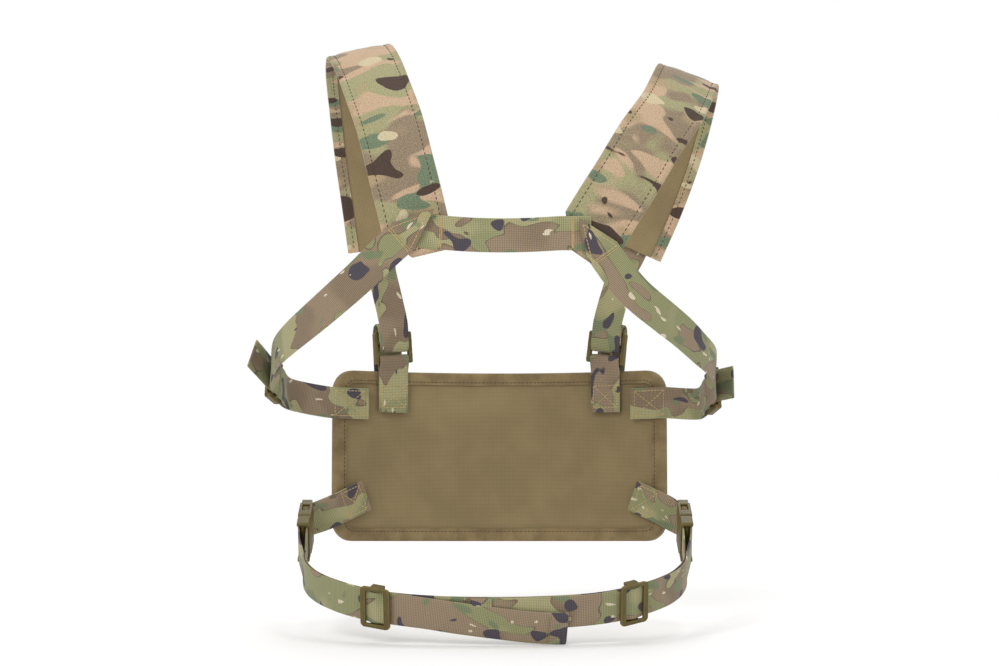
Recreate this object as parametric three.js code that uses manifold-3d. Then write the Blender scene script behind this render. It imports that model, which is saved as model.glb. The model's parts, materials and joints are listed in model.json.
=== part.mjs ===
// H-harness chest rig: two cloth shoulder straps, a cross strap and two side straps behind,
// a waist belt on side-release buckles, and a stiffened front panel.
//
// Millimetres, +Z up. The wearer faces +Y, so the harness back faces -Y and the wearer's right
// is +X. It is drawn round the middle of the wearer's chest, and moved at the end so that the
// origin is the middle of its footprint, at the height of the hanging belt tail's bottom.
import * as THREE from 'three';
import { mergeVertices } from 'three/addons/utils/BufferGeometryUtils.js';
import Module from 'manifold-3d';

const wasm = await Module();
wasm.setup();

// ---------------------------------------------------------------- driving dimensions
const gap = 0.35;                // air between a piece and its neighbour
const inch = 25.4;
const webWidth = inch;           // webbing of the belt, side straps and tabs
const webThick = 1.4;
const layerStep = webThick + gap;

const strapWidth = 2 * inch;     // cloth shoulder strap
const clothThick = 0.9;
const coreThick = 1.6;
const strapGap = 0.5;            // between the layers of a strap, which bends two ways at once
const coreInset = 3;             // the foam core stops short of the folded cloth edges

const barRadius = 1.9;           // round plastic bars that webbing runs over
const loopRadius = barRadius + gap + webThick / 2;
const railInside = webWidth / 2 + 0.7;
const railOutside = 16.5;

const backDepth = 109;           // wearer's back, behind Y = 0

const beltTilt = THREE.MathUtils.degToRad(17.5);   // the belt climbs towards the front
const beltBack = { x: -3.5, y: -110, z: 23.2 };
const beltArcs = [               // plan of the waist: radius, and the heading where it ends
  { radius: 400, until: THREE.MathUtils.degToRad(8) },
  { radius: 126, until: THREE.MathUtils.degToRad(45) },
  { radius: 68, until: THREE.MathUtils.degToRad(90) },
];
const tailDrop = 11.5;           // how far the outer tail's end hangs below the belt
const buckleRise = 6;            // buckles sit this far above the belt's own plane
const buckleStandoff = 4.5;      // and this far outside its line

const panel = {
  halfWidth: 143,
  halfHeight: 67.5,
  cornerRadius: 16,
  bendRadius: 220,
  front: 112,
  middle: 126,
  lean: THREE.MathUtils.degToRad(-5),
  lining: 0.8,
  foam: 3,
  face: 1,
};
const bindingLeg = 9;
const bindingThick = 1;
const palsPitch = 38;            // spacing of bar tacks, and of the webbing rows
const palsRows = 3;

// ---------------------------------------------------------------- materials
const material = (color, roughness) =>
  new THREE.MeshStandardMaterial({ color, roughness, metalness: 0 });
const cloth = () => material(0xa08a6a, 0.9);
const webbing = () => material(0x84805c, 0.92);
const lining = () => material(0x8c7a5c, 0.95);
const foam = () => material(0x3c3a34, 1);
const tape = () => material(0x857350, 0.9);
const plastic = () => material(0x6a5a32, 0.5);

// ---------------------------------------------------------------- geometry helpers
const vec = (x, y, z) => new THREE.Vector3(x, y, z);
const flat = () => 0;
const square = [[-1, 0], [1, 0]];   // a straight cut across a band

/** Moves every vertex of a geometry through place(x, y, z). */
function mapVertices(geometry, place) {
  const position = geometry.attributes.position;
  for (let i = 0; i < position.count; i += 1) {
    const p = place(position.getX(i), position.getY(i), position.getZ(i));
    position.setXYZ(i, p.x, p.y, p.z);
  }
  return geometry;
}

/** Frames along a smooth line through the points. `across` is each point's width direction. */
function stations(points, across, perSpan) {
  const curve = new THREE.CatmullRomCurve3(points, false, 'centripetal');
  const spans = points.length - 1;
  const hints = Array.isArray(across) ? across : points.map(() => across);
  return Array.from({ length: spans * perSpan + 1 }, (_, i) => {
    const k = Math.min(Math.floor(i / perSpan), spans - 1);
    const t = i / (spans * perSpan);
    const along = curve.getTangent(t);
    const hint = hints[k].clone().lerp(hints[k + 1], i / perSpan - k);
    const up = hint.cross(along).normalize();
    return { at: curve.getPoint(t), along, up, side: along.clone().cross(up) };
  });
}

/**
 * A flat band along the stations. startCut outlines its first end: pairs of a place across the
 * band, -1..1, and how far the band runs on there before its first station.
 */
function ribbon(line, { width, thickness, lift = 0, startCut = square }) {
  const last = line.length - 1;
  const columns = startCut.length - 1;
  const box = new THREE.BoxGeometry(last, thickness, columns, last, 1, columns);
  return mapVertices(box, (x, y, z) => {
    const i = Math.round(x + last / 2);
    const [v, reach] = startCut[Math.round(z + columns / 2)];
    const { at, along, up, side } = line[i];
    return at.clone()
      .addScaledVector(up, y + lift)
      .addScaledVector(side, (v * width) / 2)
      .addScaledVector(along, i === 0 ? -reach : 0);
  });
}

/** A frame whose x runs along a fitting, y across it and z outward. */
function fittingFrame(origin, along, outward) {
  const x = along.clone().normalize();
  const y = outward.clone().cross(x).normalize();
  const z = x.clone().cross(y);
  return new THREE.Matrix4().makeBasis(x, y, z).setPosition(origin);
}
const inFrame = (frame, x, y, z) => vec(x, y, z).applyMatrix4(frame);
const axisOf = (frame, index) => new THREE.Vector3().setFromMatrixColumn(frame, index);

function roundedRect(x0, y0, x1, y1, radius) {
  const shape = new THREE.Shape();
  shape.moveTo(x0 + radius, y0);
  shape.lineTo(x1 - radius, y0);
  shape.absarc(x1 - radius, y0 + radius, radius, -Math.PI / 2, 0);
  shape.lineTo(x1, y1 - radius);
  shape.absarc(x1 - radius, y1 - radius, radius, 0, Math.PI / 2);
  shape.lineTo(x0 + radius, y1);
  shape.absarc(x0 + radius, y1 - radius, radius, Math.PI / 2, Math.PI);
  shape.lineTo(x0, y0 + radius);
  shape.absarc(x0 + radius, y0 + radius, radius, Math.PI, Math.PI * 1.5);
  return shape;
}

/** A plate of the shape between two heights. */
function plate(shape, z0, z1) {
  const geometry = new THREE.ExtrudeGeometry(shape, {
    depth: z1 - z0, bevelEnabled: false, curveSegments: 4,
  });
  return geometry.translate(0, 0, z0);
}
const block = (x0, y0, z0, x1, y1, z1) =>
  new THREE.BoxGeometry(x1 - x0, y1 - y0, z1 - z0)
    .translate((x0 + x1) / 2, (y0 + y1) / 2, (z0 + z1) / 2);

/** A round bar across a fitting at (x, z). */
const bar = (x, z, halfLength, radius = barRadius) =>
  new THREE.CylinderGeometry(radius, radius, 2 * halfLength, 12).translate(x, 0, z);

function toSolid(geometry) {
  const bare = geometry.clone();
  bare.deleteAttribute('normal');
  bare.deleteAttribute('uv');
  const merged = mergeVertices(bare, 1e-4);
  return new wasm.Manifold(new wasm.Mesh({
    numProp: 3,
    vertProperties: new Float32Array(merged.attributes.position.array),
    triVerts: new Uint32Array(merged.index.array),
  }));
}
function fromSolid(solid) {
  const mesh = solid.getMesh();
  const geometry = new THREE.BufferGeometry();
  geometry.setAttribute('position', new THREE.BufferAttribute(mesh.vertProperties, 3));
  geometry.setIndex(new THREE.BufferAttribute(mesh.triVerts, 1));
  geometry.computeVertexNormals();
  return geometry;
}
const join = (first, ...others) =>
  fromSolid(others.reduce((sum, next) => sum.add(toSolid(next)), toSolid(first)));
const cut = (first, ...tools) =>
  fromSolid(tools.reduce((rest, tool) => rest.subtract(toSolid(tool)), toSolid(first)));

const rig = new THREE.Group();

/** Names a geometry and adds it to a group, placed by a frame when one is given. */
function add(name, geometry, finish, { group = rig, frame } = {}) {
  const mesh = new THREE.Mesh(geometry, finish);
  mesh.name = name;
  if (frame) mesh.applyMatrix4(frame);
  group.add(mesh);
}

// ---------------------------------------------------------------- shoulder straps
// Centrelines of the straps' inner faces, from the cross strap up the back, over the shoulder
// and down the chest. The two sides hang differently, as they do when worn.
const strapLines = {
  left: [
    vec(-62.7, -109, 311), vec(-67, -109.2, 329), vec(-74.2, -105, 357), vec(-82.5, -91, 388),
    vec(-91.4, -73, 412), vec(-100.1, -49, 434), vec(-107.6, -22, 447), vec(-112, 8, 449),
    vec(-114, 36, 438), vec(-113, 62, 413), vec(-110, 81, 377), vec(-105, 91, 338),
    vec(-100, 94, 300),
  ],
  right: [
    vec(70.6, -109, 308), vec(82, -109.2, 326.5), vec(94, -105.5, 345), vec(112.8, -91, 376),
    vec(131.4, -66, 402), vec(143.5, -32, 425), vec(148, -4, 431), vec(149, 24, 424),
    vec(146, 50, 403), vec(138, 72, 371), vec(125, 88, 334), vec(110, 94, 300),
  ],
};
const shoulderSlope = { left: 0.21, right: -0.37 };   // rise of the strap across its width, +X
const strapEndReach = 23;                             // the cloth's end runs on under the webbing
const strapCuts = {                                   // and is folded to a blunt point there
  left: [[-1, 0], [-0.31, strapEndReach], [0.73, strapEndReach], [1, 0]],
  right: [[-1, 0], [-0.3, strapEndReach - 1], [0.41, strapEndReach], [1, 0]],
};
const strapLift = {
  lining: clothThick / 2,
  core: clothThick + strapGap + coreThick / 2,
  outer: clothThick + 2 * strapGap + coreThick + clothThick / 2,
};
const strapTop = strapLift.outer + clothThick / 2;

function shoulderStrap(side) {
  const line = stations(strapLines[side], vec(1, 0, shoulderSlope[side]), 2);
  const startCut = strapCuts[side];
  const layer = { width: strapWidth, thickness: clothThick, startCut };
  add(`${side}_shoulder_strap_outer`, ribbon(line, { ...layer, lift: strapLift.outer }), cloth());
  add(`${side}_shoulder_strap_lining`, ribbon(line, { ...layer, lift: strapLift.lining }), lining());
  add(`${side}_shoulder_strap_core`, ribbon(line.slice(0, -1), {
    width: strapWidth - 2 * coreInset,
    thickness: coreThick,
    lift: strapLift.core,
    startCut: startCut.map(([v, reach]) => [v, reach - coreInset]),
  }), foam());
  return line;
}

// ---------------------------------------------------------------- ladder locks and their tabs
const lock = { centreBar: 9.5, lipBar: 18, end: 22.5, start: -3.4, depth: 4.2 };

function ladderLock() {
  const rail = (y0, y1) => plate(
    roundedRect(lock.start, y0, lock.end, y1, 1.4), -lock.depth / 2, lock.depth / 2);
  const lip = plate(
    roundedRect(lock.lipBar - 1, -railInside - 1, lock.end + 1.5, railInside + 1, 1.2), -0.6, 1.6);
  return join(
    rail(-railOutside, -railInside),
    rail(railInside, railOutside),
    bar(0, 0, railInside + 1),
    bar(lock.centreBar, 0, railInside + 1),
    bar(lock.lipBar, 0, railInside + 1),
    lip,
  );
}

/** Webbing run of a ladder lock: under the lip, up past the centre bar, over it and out again. */
function threadedRun(frame) {
  const underLip = loopRadius + layerStep;
  return [
    inFrame(frame, lock.lipBar + 12, 0, -underLip - 0.4),
    inFrame(frame, lock.lipBar, 0, -underLip),
    inFrame(frame, lock.centreBar + 1.5, 0, -underLip + 0.1),
    inFrame(frame, lock.centreBar - 2.2, 0, -2.6),
    inFrame(frame, lock.centreBar - loopRadius, 0, 0),
    inFrame(frame, lock.centreBar - 2.1, 0, 2.1),
    inFrame(frame, lock.centreBar, 0, loopRadius),
    inFrame(frame, lock.centreBar + 2.1, 0, 2.1),
    inFrame(frame, lock.centreBar + loopRadius + 0.1, 0, 0),
    inFrame(frame, lock.lipBar - 2.9, 0, -2.35),
    inFrame(frame, lock.lipBar, 0, -loopRadius),
  ];
}

/** A tab's loop round a fitting's bar at its frame's origin, from the inner to the outer leg. */
function tabLoop(frame, neck = 9) {
  const radius = loopRadius + 0.15;
  const slant = radius * Math.SQRT1_2;
  return [
    inFrame(frame, -neck, 0, -radius + 1),
    inFrame(frame, 0, 0, -radius),
    inFrame(frame, slant, 0, -slant),
    inFrame(frame, radius, 0, 0),
    inFrame(frame, slant, 0, slant),
    inFrame(frame, 0, 0, radius),
    inFrame(frame, -neck, 0, radius - 1),
  ];
}

// ---------------------------------------------------------------- front panel
const panelHeights = {
  lining: [0, panel.lining],
  foam: [panel.lining + gap, panel.lining + gap + panel.foam],
  face: [
    panel.lining + panel.foam + 2 * gap,
    panel.lining + panel.foam + 2 * gap + panel.face,
  ],
};
const panelOutside = panelHeights.face[1];
const panelFrame = new THREE.Matrix4()
  .makeRotationX(panel.lean)
  .setPosition(0, panel.front, panel.middle);

/** A place on the curved panel: u round it, v up it, h outward from the lining's inner face. */
function panelPoint(u, v, h) {
  const turn = u / panel.bendRadius;
  const reach = panel.bendRadius + h;
  const x = reach * Math.sin(turn);
  const y = reach * Math.cos(turn) - panel.bendRadius;
  return inFrame(panelFrame, x, y, v);
}

const panelUp = axisOf(panelFrame, 2);
const panelTangent = (u) => panelPoint(u + 1, 0, 0).sub(panelPoint(u - 1, 0, 0)).normalize();
const panelNormal = (u) => panelPoint(u, 0, 1).sub(panelPoint(u, 0, 0));

/** A layer of the panel between two heights, with round corners. */
function panelLayer([h0, h1], inset) {
  const halfWidth = panel.halfWidth - inset;
  const halfHeight = panel.halfHeight - inset;
  const radius = panel.cornerRadius - inset;
  const cornerSteps = 4;
  const columns = [];
  for (let i = 0; i <= cornerSteps; i += 1) {
    columns.push(-halfWidth + radius * (1 - Math.cos((i / cornerSteps) * Math.PI / 2)));
  }
  const straight = halfWidth - radius;
  const straightSteps = 13;
  for (let i = 1; i < straightSteps; i += 1) {
    columns.push(-straight + (2 * straight * i) / straightSteps);
  }
  columns.push(...columns.slice(0, cornerSteps + 1).map((u) => -u).reverse());
  const last = columns.length - 1;
  const box = new THREE.BoxGeometry(last, h1 - h0, 2, last, 1, 4);
  return mapVertices(box, (x, y, z) => {
    const u = columns[Math.round(x + last / 2)];
    const intoCorner = Math.max(0, Math.abs(u) - straight);
    const height = halfHeight - radius + Math.sqrt(Math.max(0, radius ** 2 - intoCorner ** 2));
    return panelPoint(u, z * height, y + (h0 + h1) / 2);
  });
}

/** The tape that wraps the panel's edge: a C section carried round its outline. */
function panelBinding() {
  const inside = gap;
  const outside = panelOutside + gap;
  const section = [
    [-bindingLeg, outside], [inside, outside], [inside, -inside], [-bindingLeg, -inside],
    [-bindingLeg, -inside - bindingThick], [inside + bindingThick, -inside - bindingThick],
    [inside + bindingThick, outside + bindingThick], [-bindingLeg, outside + bindingThick],
    [-bindingLeg, outside],
  ];
  const ringOffset = 50;
  const rings = [];
  const { halfWidth, halfHeight, cornerRadius } = panel;
  const cornerSteps = 4;
  const corners = [[1, 1], [-1, 1], [-1, -1], [1, -1]];
  corners.forEach(([sx, sy], k) => {
    const centre = [sx * (halfWidth - cornerRadius), sy * (halfHeight - cornerRadius)];
    for (let i = 0; i <= cornerSteps; i += 1) {
      const angle = (k + i / cornerSteps) * (Math.PI / 2);
      rings.push({ centre, angle, radius: cornerRadius });
    }
    const longSide = k % 2 === 0;
    const steps = longSide ? 12 : 2;
    for (let i = 1; i < steps; i += 1) {
      const angle = (k + 1) * (Math.PI / 2);
      const [nx, ny] = corners[(k + 1) % 4];
      const next = [nx * (halfWidth - cornerRadius), ny * (halfHeight - cornerRadius)];
      const part = i / steps;
      rings.push({
        centre: [centre[0] + (next[0] - centre[0]) * part, centre[1] + (next[1] - centre[1]) * part],
        angle,
        radius: cornerRadius,
      });
    }
  });
  const shape = section.map(([x, y]) => new THREE.Vector2(x + ringOffset, y)).reverse();
  const lathe = new THREE.LatheGeometry(shape, rings.length);
  return mapVertices(lathe, (x, y, z) => {
    const turn = (Math.atan2(x, z) + 2 * Math.PI) % (2 * Math.PI);
    const i = Math.round((turn / (2 * Math.PI)) * rings.length) % rings.length;
    const { centre, angle, radius } = rings[i];
    const reach = radius + Math.hypot(x, z) - ringOffset;
    return panelPoint(centre[0] + reach * Math.cos(angle), centre[1] + reach * Math.sin(angle), y);
  });
}

function palsRow(row) {
  const cells = 7;
  const perCell = 4;
  const slack = 1.1;
  const v = (row - (palsRows - 1) / 2) * palsPitch;
  const points = Array.from({ length: cells * perCell + 1 }, (_, i) => {
    const u = (i / perCell - cells / 2) * palsPitch;
    const lift = slack * Math.abs(Math.sin((i / perCell) * Math.PI));
    return panelPoint(u, v, panelOutside + gap + webThick / 2 + lift);
  });
  return ribbon(stations(points, panelUp, 1), { width: webWidth, thickness: webThick });
}

const tabDepth = -(gap + bindingThick + gap + webThick / 2);   // first tab leg, behind the binding
const topTabDepth = tabDepth - 0.45;   // a flat tab standing across the panel's bend
const buckleTabDepth = tabDepth - 1;   // a tab that twists as it leaves the edge

// ---------------------------------------------------------------- waist belt
const beltFrame = new THREE.Matrix4()
  .makeRotationX(beltTilt)
  .setPosition(beltBack.x, beltBack.y, beltBack.z);

/** A place in the belt's plane: s along it from the middle of the back, out = outward. */
function beltPlace(s, out) {
  let left = Math.abs(s);
  let heading = 0;
  let x = 0;
  let y = 0;
  for (const { radius, until } of beltArcs) {
    const turn = Math.min(until - heading, left / radius);
    x += radius * (Math.sin(heading + turn) - Math.sin(heading));
    y += radius * (Math.cos(heading) - Math.cos(heading + turn));
    heading += turn;
    left -= turn * radius;
    if (left <= 1e-9) break;
  }
  x += left * Math.cos(heading) + out * Math.sin(heading);
  y += left * Math.sin(heading) - out * Math.cos(heading);
  return { x: Math.sign(s) * x, y, heading };
}
const arcLength = beltArcs.reduce(
  (sum, { radius, until }, k) => sum + radius * (until - (k ? beltArcs[k - 1].until : 0)), 0);
const sideEdge = beltPlace(arcLength, 0);
const buckleBar = { x: sideEdge.x + buckleStandoff, y: sideEdge.y + 36 };
const glideAt = { left: -89, right: 105.5 };   // distance of each tri-glide along the belt
const tailEnds = { left: 53, right: -17 };   // where each side's tail ends, past the middle

function beltWebbing() {
  const point = (s, layer, z = 0) => {
    const { x, y } = beltPlace(s, layer * layerStep);
    return vec(x, y, z);
  };
  const run = (from, to, steps, layer, height = flat) =>
    Array.from({ length: steps + 1 }, (_, i) => {
      const s = from + ((to - from) * i) / steps;
      return point(s, typeof layer === 'number' ? layer : layer(s), height(s));
    });
  const loop = (side) => {
    const at = (dx, dy, z) => vec(side * (buckleBar.x + dx), buckleBar.y + dy, z);
    const slant = loopRadius * Math.SQRT1_2;
    return [
      at(-loopRadius - 0.4, -15, buckleRise * 0.8), at(-loopRadius, -3, buckleRise),
      at(-loopRadius, 0, buckleRise), at(-slant, slant, buckleRise),
      at(0, loopRadius, buckleRise), at(slant, slant, buckleRise),
      at(loopRadius, 0, buckleRise), at(loopRadius, -3, buckleRise),
      at(loopRadius - 1.2, -15, buckleRise * 0.8),
    ];
  };
  const tailHeight = (s) => -tailDrop * THREE.MathUtils.smoothstep(s, -78, tailEnds.left + 20) * 1.1265;
  const tailLayer = (s) => 1 + THREE.MathUtils.smoothstep(s, -60, tailEnds.right - 12);
  const points = [
    ...run(tailEnds.left, glideAt.left + 16, 12, tailLayer, tailHeight),
    ...run(glideAt.left, -arcLength, 12, 1),
    ...loop(-1).reverse(),
    ...run(-arcLength, arcLength, 34, 0),
    ...loop(1),
    ...run(arcLength, tailEnds.right, 22, 1),
  ];
  return ribbon(stations(points, vec(0, 0, -1), 1), { width: webWidth, thickness: webThick });
}

const glide = { halfLength: 12, halfWidth: 16.2, rail: 2.8, endBar: 4, thick: 2.2 };

/** Adjuster: end bars over both webbing layers, a centre bar behind them, rails joining all. */
function triGlide() {
  const floor = -webThick / 2 - gap - 2;
  const sag = 0.7;                            // a straight frame on a bent belt
  const ceiling = layerStep + webThick / 2 + gap + sag;
  const { halfLength, halfWidth, thick, endBar } = glide;
  const frame = roundedRect(-halfLength, -halfWidth, halfLength, halfWidth, 3.5);
  const opening = block(
    -halfLength + endBar, -railInside, -20, halfLength - endBar, railInside, 20);
  const rings = cut(plate(frame, ceiling, ceiling + thick), opening);
  const rail = (y0, y1) => block(-5, y0, floor, 5, y1, ceiling + thick / 2);
  return join(
    rings,
    rail(railInside, halfWidth - 0.4),
    rail(-halfWidth + 0.4, -railInside),
    block(-2, -railInside - 1, floor, 2, railInside + 1, floor + 1.9),
  );
}

/** Frame on the belt at distance s: x along it, y across it, z outward. */
function glideFrame(s) {
  const { x, y, heading } = beltPlace(s, 0);
  const side = Math.sign(s);
  const along = vec(Math.cos(heading), side * Math.sin(heading), 0);
  const outward = vec(side * Math.sin(heading), -Math.cos(heading), 0);
  return fittingFrame(vec(x, y, 0), along, outward);
}

// ---------------------------------------------------------------- side-release buckles
// x runs from the male's webbing bar towards the front, y across, z outward.
const buckle = {
  halfWidth: 16.5,
  halfThick: 4.6,
  collar: [6.6, 14],
  tongue: { end: 32, halfWidth: 3.4, halfThick: 2 },
  female: [14.4, 42],
  cavityEnd: 38,
  cavityHalfWidth: 13.6,
  cavityHalfThick: 2.9,
  frontBar: 46.2,
  window: [25, 38],
};
const prong = { root: 14.9, pivot: 15.6, inner: 7, outer: 12.4, barb: 16.4, tip: 36.5, halfThick: 2.3 };

function buckleMale() {
  const { halfWidth, halfThick, collar, tongue } = buckle;
  const cheek = (y0, y1) => plate(roundedRect(-3, y0, collar[0] + 2, y1, 1.4), -halfThick, halfThick);
  return join(
    plate(roundedRect(collar[0], -halfWidth, collar[1], halfWidth, 1.6), -halfThick, halfThick),
    cheek(-halfWidth, -railInside),
    cheek(railInside, halfWidth),
    bar(0, 0, railInside + 1),
    block(collar[1] - 1, -tongue.halfWidth, -tongue.halfThick, tongue.end,
      tongue.halfWidth, tongue.halfThick),
  );
}

function buckleProng(side) {
  const shape = new THREE.Shape();
  shape.moveTo(prong.root, prong.inner);
  shape.lineTo(prong.tip - 2, prong.inner + 0.6);
  shape.quadraticCurveTo(prong.tip, prong.inner + 1, prong.tip, prong.inner + 3);
  shape.lineTo(prong.tip - 1, prong.barb - 2);
  shape.quadraticCurveTo(prong.tip - 2, prong.barb, prong.tip - 4, prong.barb);
  shape.lineTo(buckle.window[0] + 1.2, prong.barb - 0.4);
  shape.lineTo(buckle.window[0] + 0.6, prong.outer);
  shape.lineTo(prong.root, prong.outer);
  const geometry = plate(shape, -prong.halfThick, prong.halfThick);
  return side > 0 ? geometry : geometry.rotateX(Math.PI);
}

function buckleFemale() {
  const { halfWidth, halfThick, female, cavityEnd, cavityHalfWidth, cavityHalfThick } = buckle;
  const shell = plate(roundedRect(female[0], -halfWidth - 0.4, female[1], halfWidth + 0.4, 2.2),
    -halfThick - 0.4, halfThick + 0.4);
  const cavity = block(female[0] - 1, -cavityHalfWidth, -cavityHalfThick,
    cavityEnd, cavityHalfWidth, cavityHalfThick);
  const windows = block(buckle.window[0], -halfWidth - 3, -cavityHalfThick,
    buckle.window[1], halfWidth + 3, cavityHalfThick);
  const cheek = (y0, y1) => plate(
    roundedRect(female[1] - 3, y0, buckle.frontBar + 3, y1, 1.4), -halfThick + 0.6, halfThick - 0.6);
  return join(
    cut(shell, cavity, windows),
    cheek(-halfWidth, -railInside),
    cheek(railInside, halfWidth),
    bar(buckle.frontBar, 0, railInside + 1),
  );
}

// ---------------------------------------------------------------- assembly: straps behind
const strapEnds = { left: shoulderStrap('left'), right: shoulderStrap('right') };

const crossY = -(backDepth + strapTop + gap + webThick / 2);   // on top of the strap ends
const crossRest = -(backDepth + 1.2);                          // between them it lies on the back
const crossPoints = [
  vec(-60, crossY, 307.5), vec(-51, crossY, 306), vec(-42, crossY, 305.4),
  vec(-34, crossY + 0.4, 304.8), vec(-24, crossRest - 1.4, 304.2), vec(-10, crossRest, 303.7),
  vec(8, crossRest, 303.6), vec(24, crossRest, 304), vec(36, crossRest - 1.4, 304.6),
  vec(45, crossY + 0.4, 305), vec(52, crossY, 305), vec(60, crossY, 305), vec(68, crossY, 305),
];
add('back_cross_strap', ribbon(stations(crossPoints, vec(0, 0, -1), 2), {
  width: webWidth, thickness: webThick,
}), webbing());

// ---------------------------------------------------------------- assembly: side straps
const onTop = crossY - layerStep;
const sideLines = {
  left: {
    points: [
      vec(-73.8, onTop, 300.4), vec(-84, onTop + 1.2, 291.5), vec(-106, -110, 270.7),
      vec(-134, -95, 247), vec(-149, -81, 235.3), vec(-164.5, -60, 222.8), vec(-173.6, -38, 213.5),
    ],
    outward: [
      vec(0, -1, 0), vec(0, -1, 0), vec(-0.2, -1, 0),
      vec(-0.52, -1, 0), vec(-0.9, -1, 0), vec(-1.8, -1, 0), vec(-1, -0.3, 0),
    ],
    anchor: vec(-176.5, 16, 191),
    lockAlong: vec(-0.22, -0.93, 0.29),
    lockOutward: vec(-0.97, 0.23, 0),
    tail: [[26, -2, 1], [38, 0.6, 5], [50, 4.5, 10]],
  },
  right: {
    points: [
      vec(78.3, onTop, 289.3), vec(87, onTop + 1.2, 276.6), vec(102, -112, 259.8),
      vec(118.6, -104, 246.3), vec(136.6, -91, 232.5), vec(152.7, -72, 218.6),
      vec(164, -50, 208),
    ],
    outward: [
      vec(0, -1, 0), vec(0, -1, 0), vec(0.15, -1, 0),
      vec(0.3, -1, 0), vec(0.6, -1, 0), vec(1.1, -1, 0), vec(1, -0.5, 0),
    ],
    anchor: vec(167, 16, 182.5),
    lockAlong: vec(0.2, -0.94, 0.27),
    lockOutward: vec(0.97, 0.21, 0),
    tail: [[26, -2, 0], [36, 1.6, -1], [46, 5.8, -2]],
  },
};
const stitchedPoint = 35;   // the side strap's pointed end runs this far past its stitch line

function sideStrap(side) {
  const { points, outward, anchor, lockAlong, lockOutward, tail } = sideLines[side];
  const frame = fittingFrame(anchor, lockAlong, lockOutward);
  const upSign = side === 'left' ? 1 : -1;
  const run = [
    ...points,
    ...threadedRun(frame),
    ...tail.map(([x, z, rise]) => inFrame(frame, x, 0, z).add(vec(0, 0, rise))),
  ];
  const across = run.map((_, i) => {
    if (i >= points.length) return axisOf(frame, 1);
    const next = run[i + 1].clone().sub(run[Math.max(0, i - 1)]);
    return next.cross(outward[i]).normalize();
  });
  const line = stations(run, across, 2);
  add(`${side}_side_strap`, ribbon(line, {
    width: webWidth,
    thickness: webThick,
    startCut: [[-1, 3], [0, stitchedPoint], [1, 3]],
  }), webbing());
  add(`${side}_side_ladder_lock`, ladderLock(), plastic(), { frame });

  const sign = -upSign;
  const edgeV = 44;
  const leg = (depth, lift) => [
    panelPoint(sign * (panel.halfWidth - 28), edgeV, depth),
    panelPoint(sign * (panel.halfWidth - 8), edgeV, depth),
    panelPoint(sign * (panel.halfWidth + 6), edgeV, depth),
    inFrame(frame, -32, 0, lift),
  ];
  const tab = [
    ...leg(tabDepth - layerStep, -0.95),
    ...tabLoop(frame),
    ...leg(tabDepth, 0.95).reverse(),
  ];
  const tabAcross = tab.map((_, i) => (Math.min(i, tab.length - 1 - i) < 3
    ? panelUp.clone().multiplyScalar(upSign)
    : axisOf(frame, 1)));
  add(`${side}_side_anchor_tab`, ribbon(stations(tab, tabAcross, 2), {
    width: webWidth, thickness: webThick,
  }), webbing());
}
sideStrap('left');
sideStrap('right');

// ---------------------------------------------------------------- assembly: front straps
const frontLockU = 92;
function frontStrap(side) {
  const sign = side === 'left' ? -1 : 1;
  const anchor = panelPoint(
    sign * frontLockU, panel.halfHeight + 14, topTabDepth - layerStep / 2);
  const strapLine = strapEnds[side];
  const tip = strapLine.at(-1);
  const sewn = strapTop + gap + webThick / 2;
  const sewnRun = strapLine.slice(-5);
  const along = tip.at.clone().sub(anchor).normalize().add(panelUp);
  const frame = fittingFrame(anchor, along, panelNormal(sign * frontLockU));
  const run = [
    ...sewnRun.map(({ at, up }) => at.clone().addScaledVector(up, sewn)),
    tip.at.clone().addScaledVector(tip.along, 18).addScaledVector(tip.up, 2),
    ...threadedRun(frame),
    ...[[23.5, -2.7], [27.5, -1.4], [29.5, 3], [27, 8], [19, 11], [6, 12.6], [-10, 13.4]]
      .map(([x, z]) => inFrame(frame, x, 0, z)),
  ];
  const across = run.map((_, i) => (i < sewnRun.length ? sewnRun[i].side : axisOf(frame, 1)));
  add(`${side}_front_strap`, ribbon(stations(run, across, 2), {
    width: webWidth, thickness: webThick,
  }), webbing());
  add(`${side}_front_ladder_lock`, ladderLock(), plastic(), { frame });
  const leg = (depth) => [30, 16, 4, -4].map(
    (below) => panelPoint(sign * frontLockU, panel.halfHeight - below, depth));
  const tab = [
    ...leg(topTabDepth - layerStep),
    ...tabLoop(frame).slice(1, -1),
    ...leg(topTabDepth).reverse(),
  ];
  const tabAcross = tab.map((_, i) => (Math.min(i, tab.length - 1 - i) < 4
    ? panelTangent(sign * frontLockU)
    : axisOf(frame, 1)));
  add(`${side}_front_anchor_tab`, ribbon(stations(tab, tabAcross, 2), {
    width: webWidth, thickness: webThick,
  }), webbing());
}
frontStrap('left');
frontStrap('right');

// ---------------------------------------------------------------- assembly: belt and buckles
const belt = new THREE.Group();
belt.applyMatrix4(beltFrame);
rig.add(belt);
add('waist_belt_webbing', beltWebbing(), webbing(), { group: belt });

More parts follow.
